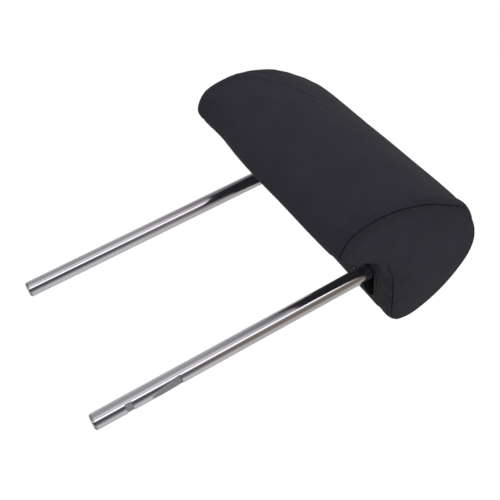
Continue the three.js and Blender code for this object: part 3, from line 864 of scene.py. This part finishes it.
def build_foam():
    """Moulded foam with soft ends, and the cavity that the frame sits in."""
    columns = 120
    s = np.linspace(0, OUTLINE_LENGTH, columns, endpoint=False)
    straight = FOAM_HALF_LENGTH - FOAM_ROUND
    end = [(straight + FOAM_ROUND * math.sin(turn), FOAM_DEPTH + FOAM_ROUND * (1 - math.cos(turn)))
           for turn in np.linspace(0, math.pi / 2, 6)]
    between = [(x, FOAM_DEPTH) for x in evenly(-straight, straight, FOAM_STEP)[1:-1]]
    profile = [(-x, inset) for x, inset in reversed(end)] + between + end
    rings = [pad_point(s, np.full(columns, x), np.full(columns, inset)) for x, inset in profile]
    faces = ring_faces(len(rings), columns)
    faces += [tuple(range(columns)), tuple(range((len(rings) - 1) * columns, len(rings) * columns))]
    core = mesh_object("foam_core_moulded", askew(np.vstack(rings)), faces, foam)
    fix_normals(core)
    room = (base_high.x + GAP, base_low.y - GAP, base_high.y + GAP)
    lower = box_object((-room[0], room[1], UNDERSIDE - CUTTER_SPARE), (room[0], room[2], CAVITY_STEP))
    lap_start = CAVITY_STEP - CUTTER_LAP
    upper = box_object((-room[0], room[1], lap_start), (room[0], CAVITY_UPPER_BACK, CAVITY_TOP))
    cut_away(core, [lower, upper])
    core.data.set_sharp_from_angle(angle=math.radians(35))
    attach(core, "pad")
    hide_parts("foam_core")


# ---- base cover ----
PLATE_DROP = 0.9 * MM  # how far its face stands below the CAD solid's
PLATE_EDGE = 0.45 * MM
PLATE_CORNER = 6 * MM
FACE_THICKNESS = 1.2 * MM
FACE_LAP = 0.3 * MM
BACK_INSET = 0.9 * MM
BACK_SLOT_GROWTH = 0.8 * MM
BACK_EDGE = 0.2 * MM
PART_LAP = 0.5 * MM  # how far one part of the moulding runs into the next
WALL = (1.2 * MM, 2.4 * MM)  # outer and inner inset from the border
WALL_HEIGHT = 2 * MM
WALL_EDGE = 0.3 * MM
SCREW_RECESS = 4.6 * MM
SCREW_HOLE = 2.3 * MM
BOSS_BORE = 3 * MM
BOSS_HEIGHT = 0.2 * MM
BOSS_EDGE = 0.15 * MM
RIB_PLACES = [place * MM for place in (-36, -18, 0, 18, 36)]
RIB_HALF_WIDTH = 0.8 * MM
RIB_END_GAP = 3 * MM
RIB_ROUND = 0.5 * MM
RIB_HEIGHT = 1.8 * MM
RIB_EDGE = 0.25 * MM


def rounded_outline(low, high, radius, corner_steps=8):
    """A rectangle with round corners, as (x, y) points, counter-clockwise."""
    centres = [(high[0] - radius, high[1] - radius), (low[0] + radius, high[1] - radius),
               (low[0] + radius, low[1] + radius), (high[0] - radius, low[1] + radius)]  # fmt: skip
    points = []
    for quarter, (x, y) in enumerate(centres):
        for step in range(corner_steps + 1):
            angle = (quarter + step / corner_steps) * math.pi / 2
            points.append((x + radius * math.cos(angle), y + radius * math.sin(angle)))
    return points


def circle_outline(x, y, radius):
    return rounded_outline((x - radius, y - radius), (x + radius, y + radius), radius, 9)


def slot_outline(side, grow):
    radius = SLOT_HALF_WIDTH + grow
    x = side * POST_X
    return rounded_outline((x - radius, SLOT_FRONT - grow), (x + radius, SLOT_BACK + grow), radius - 1e-5, 12)


def moulding(outlines, low, high, edge, material):
    """A flat moulding with rounded edges between two heights: first its border, then its holes."""
    data = bpy.data.curves.new("moulding", "CURVE")
    data.dimensions = "2D"
    data.fill_mode = "BOTH"
    data.bevel_depth = edge
    data.bevel_resolution = 2
    data.extrude = (high - low) / 2 - edge
    for index, outline_points in enumerate(outlines):
        spline = data.splines.new("POLY")
        points = outline_points if index == 0 else list(reversed(outline_points))
        spline.points.add(len(points) - 1)
        for point, (x, y) in zip(spline.points, points):
            point.co = (x, y, 0, 1)
        spline.use_cyclic_u = True
    curve = bpy.data.objects.new("moulding", data)
    bpy.context.scene.collection.objects.link(curve)
    graph = bpy.context.evaluated_depsgraph_get()
    mesh = bpy.data.meshes.new_from_object(curve.evaluated_get(graph))
    mesh.transform(Matrix.Translation((0, 0, (low + high) / 2)))
    mesh.materials.clear()
    mesh.materials.append(material)
    bpy.data.objects.remove(curve)
    return mesh


def joined(name, meshes, material):
    """One object from several meshes, each welded."""
    shape = bmesh.new()
    for mesh in meshes:
        shape.from_mesh(mesh)
    bmesh.ops.remove_doubles(shape, verts=shape.verts, dist=1e-6)
    bmesh.ops.recalc_face_normals(shape, faces=shape.faces)
    result = bpy.data.meshes.new(name)
    shape.to_mesh(result)
    shape.free()
    result.materials.append(material)
    obj = bpy.data.objects.new(name, result)
    bpy.context.scene.collection.objects.link(obj)
    result.shade_smooth()
    result.set_sharp_from_angle(angle=math.radians(40))
    return obj


def build_base_cover():
    """The moulded plate: a countersunk face, a collar round each slot, a border wall, bosses and ribs."""
    low, high = (base_low.x, base_low.y), (base_high.x, base_high.y)
    bottom = base_low.z - PLATE_DROP
    step = bottom + FACE_THICKNESS
    top = base_low.z + BASE_THICKNESS
    places = [(side * BASE_SCREW[0], end * BASE_SCREW[1]) for side in (-1, 1) for end in (-1, 1)]
    parts = []

    def border(inset):
        corner = PLATE_CORNER - inset
        return rounded_outline((low[0] + inset, low[1] + inset), (high[0] - inset, high[1] - inset), corner)

    def slots(grow):
        return [slot_outline(side, grow) for side in (-1, 1)]

    def circles(radius):
        return [circle_outline(x, y, radius) for x, y in places]

    def add(outlines, start, stop, edge):
        parts.append(moulding(outlines, start, stop, edge, base_plastic))

    face = [border(PLATE_EDGE), *slots(PLATE_EDGE), *circles(SCREW_RECESS + PLATE_EDGE)]
    add(face, bottom, step + FACE_LAP, PLATE_EDGE)
    back = [border(BACK_INSET), *slots(BACK_SLOT_GROWTH), *circles(SCREW_HOLE)]
    add(back, step, top, BACK_EDGE)
    add([border(inset) for inset in WALL], top - PART_LAP, top + WALL_HEIGHT, WALL_EDGE)
    for collar in zip(slots(SLOT_RIM - PLATE_EDGE), slots(PLATE_EDGE)):
        add(collar, bottom - PART_LAP, base_high.z, PLATE_EDGE)
    for boss in zip(circles(SCREW_RECESS), circles(BOSS_BORE)):
        add(boss, top - PART_LAP, top + BOSS_HEIGHT, BOSS_EDGE)
    for x in RIB_PLACES:
        start = (x - RIB_HALF_WIDTH, low[1] + RIB_END_GAP)
        stop = (x + RIB_HALF_WIDTH, high[1] - RIB_END_GAP)
        add([rounded_outline(start, stop, RIB_ROUND)], top - PART_LAP, top + RIB_HEIGHT, RIB_EDGE)
    cover = joined("base_cover_moulded", parts, base_plastic)
    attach(cover, "pad")
    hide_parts("base_cover")


# The base screws' form
SHANK_RADIUS = 2 * MM
HEAD_HEIGHT = 2.2 * MM
HEAD_ROUND = 0.7 * MM
SOCKET_RADIUS = 1.5 * MM
SOCKET_DEPTH = 1.3 * MM
SOCKET_CHAMFER = (0.15 * MM, 0.1 * MM)  # across and deep
SOCKET_TIP = (0.2, 0.1 * MM)  # share of the socket's radius, and how much deeper
THREAD_START = 2 * MM  # above the head
THREAD_DEPTH = 0.3 * MM
PITCH = 0.7 * MM
POINT = (0.8 * MM, 0.4 * MM)  # across and high
SCREW_SIDES = 36


def hexagon(angle):
    """How far a hexagon's side is from its middle, for one across its corners."""
    return math.cos(math.pi / 6) / math.cos(angle % (math.pi / 3) - math.pi / 6)


def screw_rings(head, low, high):
    """The screw's rings from its socket's middle to its point: radius, height, and whether six-sided."""
    head_flat = head - HEAD_ROUND
    rings = [
        (SOCKET_RADIUS * SOCKET_TIP[0], low + SOCKET_DEPTH + SOCKET_TIP[1], True),
        (SOCKET_RADIUS, low + SOCKET_DEPTH, True),
        (SOCKET_RADIUS, low + SOCKET_CHAMFER[1], True),
        (SOCKET_RADIUS + SOCKET_CHAMFER[0], low, False),
        (head_flat, low, False),
    ]
    for turn in (0.4, 0.8, 1.2, math.pi / 2):
        rise = HEAD_ROUND * (1 - math.cos(turn))
        rings.append((head_flat + HEAD_ROUND * math.sin(turn), low + rise, False))
    rings += [(head, low + HEAD_HEIGHT, False), (SHANK_RADIUS, low + HEAD_HEIGHT, False)]
    z = low + HEAD_HEIGHT + THREAD_START
    while z < high - PITCH:
        rings += [(SHANK_RADIUS, z, False), (SHANK_RADIUS - THREAD_DEPTH, z + PITCH / 2, False)]
        z += PITCH
    rings += [(SHANK_RADIUS - THREAD_DEPTH, high - POINT[1], False), (SHANK_RADIUS - POINT[0], high, False)]
    return rings


def build_base_screw(side, end):
    """A low socket screw: a filleted head with a six-sided socket, and a threaded shank."""
    name = ("right" if side > 0 else "left") + "_" + ("back" if end > 0 else "front")
    low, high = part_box("base_screw_" + name)
    centre = Vector(((low.x + high.x) / 2, (low.y + high.y) / 2, 0))
    sides = SCREW_SIDES
    rings = screw_rings((high.x - low.x) / 2, low.z, high.z)
    vertices = []
    for radius, height, six_sided in rings:
        for k in range(sides):
            angle = 2 * math.pi * k / sides
            reach = radius * (hexagon(angle) if six_sided else 1)
            vertices.append(centre + Vector((reach * math.cos(angle), reach * math.sin(angle), height)))
    faces = ring_faces(len(rings), sides)
    faces += [tuple(range(sides)), tuple(range((len(rings) - 1) * sides, len(rings) * sides))]
    screw = mesh_object("base_screw_detailed_" + name, vertices, faces, black_oxide)
    fix_normals(screw)
    screw.data.set_sharp_from_angle(angle=math.radians(35))
    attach(screw, "pad")
    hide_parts("base_screw_" + name)


# ---- camera, light and floor ----
LENS = 52.79
SENSOR = 36
CAMERA_PLACE = Vector((0.3356, -0.4236, 0.0178))
CAMERA_RIGHT = Vector((0.498, 0.110, 0.860))
CAMERA_FORWARD = Vector((-0.603, 0.757, 0.253))


def build_camera():
    """The viewing angle: low beside the notched post, rolled so that the posts run across the picture."""
    camera = bpy.data.objects.new("camera", bpy.data.cameras.new("camera"))
    bpy.context.scene.collection.objects.link(camera)
    camera.data.sensor_width = SENSOR
    camera.data.lens = LENS
    camera.data.clip_start = 0.01
    forward = CAMERA_FORWARD.normalized()
    up = CAMERA_RIGHT.normalized().cross(forward).normalized()
    right = forward.cross(up).normalized()
    turn = Matrix((right, up, -forward)).transposed()
    camera.matrix_world = Matrix.Translation(CAMERA_PLACE) @ turn.to_4x4()
    bpy.context.scene.camera = camera


# How bright the studio's walls are, by compass direction in degrees from +X towards +Y
WALLS = [
    (-180, 0.55), (-158, 0.44), (-138, 0.35), (-118, 0.38), (-104, 0.48), (-94, 0.60), (-90, 1.10),
    (-86, 0.70), (-74, 0.70), (-66, 0.85), (-61, 1.50), (-57, 2.30), (-54, 1.50), (-49, 0.70),
    (-42, 0.45), (-32, 0.24), (-8, 0.24), (4, 0.30), (14, 0.46), (26, 0.60), (46, 0.62), (80, 0.56),
    (104, 0.60), (150, 0.72), (180, 0.55),
]  # fmt: skip
WARM_SIDE = [(-60, 0.0), (-30, 1.0), (20, 1.0), (50, 0.0)]
# How much darker the walls get near the ground and higher up, by compass direction
LOW_SHADE = [(-48, 1.0), (-42, 0.3), (-24, 0.3), (-6, 0.7), (12, 1.15), (60, 1.0)]
HIGH_SHADE = [
    (-170, 0.8), (-145, 0.4), (-100, 0.3), (-80, 0.6), (-64, 1.0), (-50, 1.0), (-38, 0.9), (0, 0.7),
    (50, 0.9),
]  # fmt: skip
# How bright the walls and the sky are, by how steeply a direction rises
WALL_FADE = [(-1.0, 0.75), (-0.6, 0.5), (-0.35, 0.45), (-0.1, 0.95), (0.1, 1.0), (0.3, 0.9)]
SKY = [(-0.9, 0.1), (-0.5, 0.7), (-0.1, 0.9), (0.3, 0.6), (1.0, 0.3)]
CEILING = (0.4, 0.4, 0.4)


def compass(levels):
    """Ramp stops from (degrees, level) pairs."""
    return [((degrees + 180) / 360, level) for degrees, level in levels]


def height_ramp(n, height, levels):
    """A grey level that depends on how steeply a direction rises, from -1 straight down to 1 straight up."""
    share = n.math("MULTIPLY_ADD", height, 0.5, 0.5)
    return n.ramp(share, [((rise + 1) / 2, level) for rise, level in levels])


def build_world():
    """White to the camera, studio walls in reflections, and a soft sky with a dark ground for the light."""
    world = bpy.data.worlds.new("studio")
    world.use_nodes = True
    bpy.context.scene.world = world
    n = Nodes(world.node_tree)
    direction = n.add("ShaderNodeTexCoord").outputs["Generated"]
    parts = n.add("ShaderNodeSeparateXYZ")
    n.link(direction, parts.inputs[0])
    turn = n.math("MULTIPLY_ADD", n.math("ARCTAN2", parts.outputs[1], parts.outputs[0]), 0.5 / math.pi, 0.5)
    rise = parts.outputs[2]

    walls = n.ramp(turn, compass(WALLS))
    high = height_ramp(n, rise, [(0.06, 0.0), (0.24, 1.0)])
    warm = n.math("MULTIPLY", n.ramp(turn, compass(WARM_SIDE)), high)
    walls = n.mix_colour(1.0, walls, n.mix_colour(warm, (1, 0.975, 1.03), (1.12, 0.97, 0.84)), "MULTIPLY")
    shade = n.mix_colour(high, n.ramp(turn, compass(LOW_SHADE)), (1.0, 1.0, 1.0))
    walls = n.mix_colour(1.0, walls, shade, "MULTIPLY")
    higher = height_ramp(n, rise, [(0.14, 0.0), (0.3, 1.0)])
    shade = n.mix_colour(higher, (1.0, 1.0, 1.0), n.ramp(turn, compass(HIGH_SHADE)))
    walls = n.mix_colour(1.0, walls, shade, "MULTIPLY")
    walls = n.mix_colour(1.0, walls, height_ramp(n, rise, WALL_FADE), "MULTIPLY")
    room = n.mix_colour(height_ramp(n, rise, [(0.45, 0.0), (0.75, 1.0)]), walls, CEILING)
    sky = height_ramp(n, rise, SKY)

    shaders = []
    for colour in (sky, room, grey(1.0)):
        background = n.add("ShaderNodeBackground")
        n.feed(background.inputs["Color"], colour)
        shaders.append(background.outputs[0])
    ray = n.add("ShaderNodeLightPath").outputs
    lit = n.add("ShaderNodeMixShader")
    n.link(ray["Is Glossy Ray"], lit.inputs[0])
    n.link(shaders[0], lit.inputs[1])
    n.link(shaders[1], lit.inputs[2])
    seen = n.add("ShaderNodeMixShader")
    n.link(ray["Is Camera Ray"], seen.inputs[0])
    n.link(lit.outputs[0], seen.inputs[1])
    n.link(shaders[2], seen.inputs[2])
    n.link(seen.outputs[0], n.add("ShaderNodeOutputWorld").inputs[0])


def soft_light(name, place, target, size, power):
    light = bpy.data.lights.new(name, "AREA")
    light.shape = "RECTANGLE"
    light.size = size[0]
    light.size_y = size[1]
    light.energy = power
    obj = bpy.data.objects.new(name, light)
    obj.location = place
    obj.rotation_euler = (Vector(target) - Vector(place)).to_track_quat("-Z", "Y").to_euler()
    obj.visible_glossy = False
    obj.visible_camera = False
    bpy.context.scene.collection.objects.link(obj)


def build_floor():
    material, n = new_material("floor_white")
    grain = n.noise(n.place(), 40, 3.0)
    tone = n.mix_colour(grain, (0.3, 0.3, 0.3), (0.34, 0.34, 0.34))
    shader = n.surface(Base_Color=tone, Roughness=1.0, Specular_IOR_Level=0.0)
    shader.inputs["Emission Color"].default_value = grey(1.0)
    shader.inputs["Emission Strength"].default_value = 0.9
    size = 60.0
    corners = [(-size, -size, 0), (size, -size, 0), (size, size, 0), (-size, size, 0)]
    floor = mesh_object("floor", corners, [(0, 1, 2, 3)], material, smooth=False)
    floor.visible_diffuse = False
    floor.visible_glossy = False
    floor.visible_shadow = False


bpy.context.scene.view_settings.view_transform = "Standard"
build_camera()
build_world()
build_floor()
middle = Vector((0, -0.02, 0.2))
soft_light("key_light", (0.4, -1.2, -0.25), middle, (1.0, 1.0), 1.85)
soft_light("back_light", (-0.2, 1.2, 1.1), middle, (1.0, 1.0), 0.2)

build_rod()
build_main_cover()
for side in (-1, 1):
    build_end_cover(side)
build_foam()
build_base_cover()
for side in (-1, 1):
    for end in (-1, 1):
        build_base_screw(side, end)

record_slots = {row["node"]: row["material_slot"] for row in frame["record"]["subparts"]}
for name, node in frame["nodes"].items():
    if node.hide_render:
        continue
    node.data.materials.clear()
    node.data.materials.append(SLOT_MATERIALS[record_slots[name]])
    node.data.shade_smooth()
    node.data.set_sharp_from_angle(angle=math.radians(30))
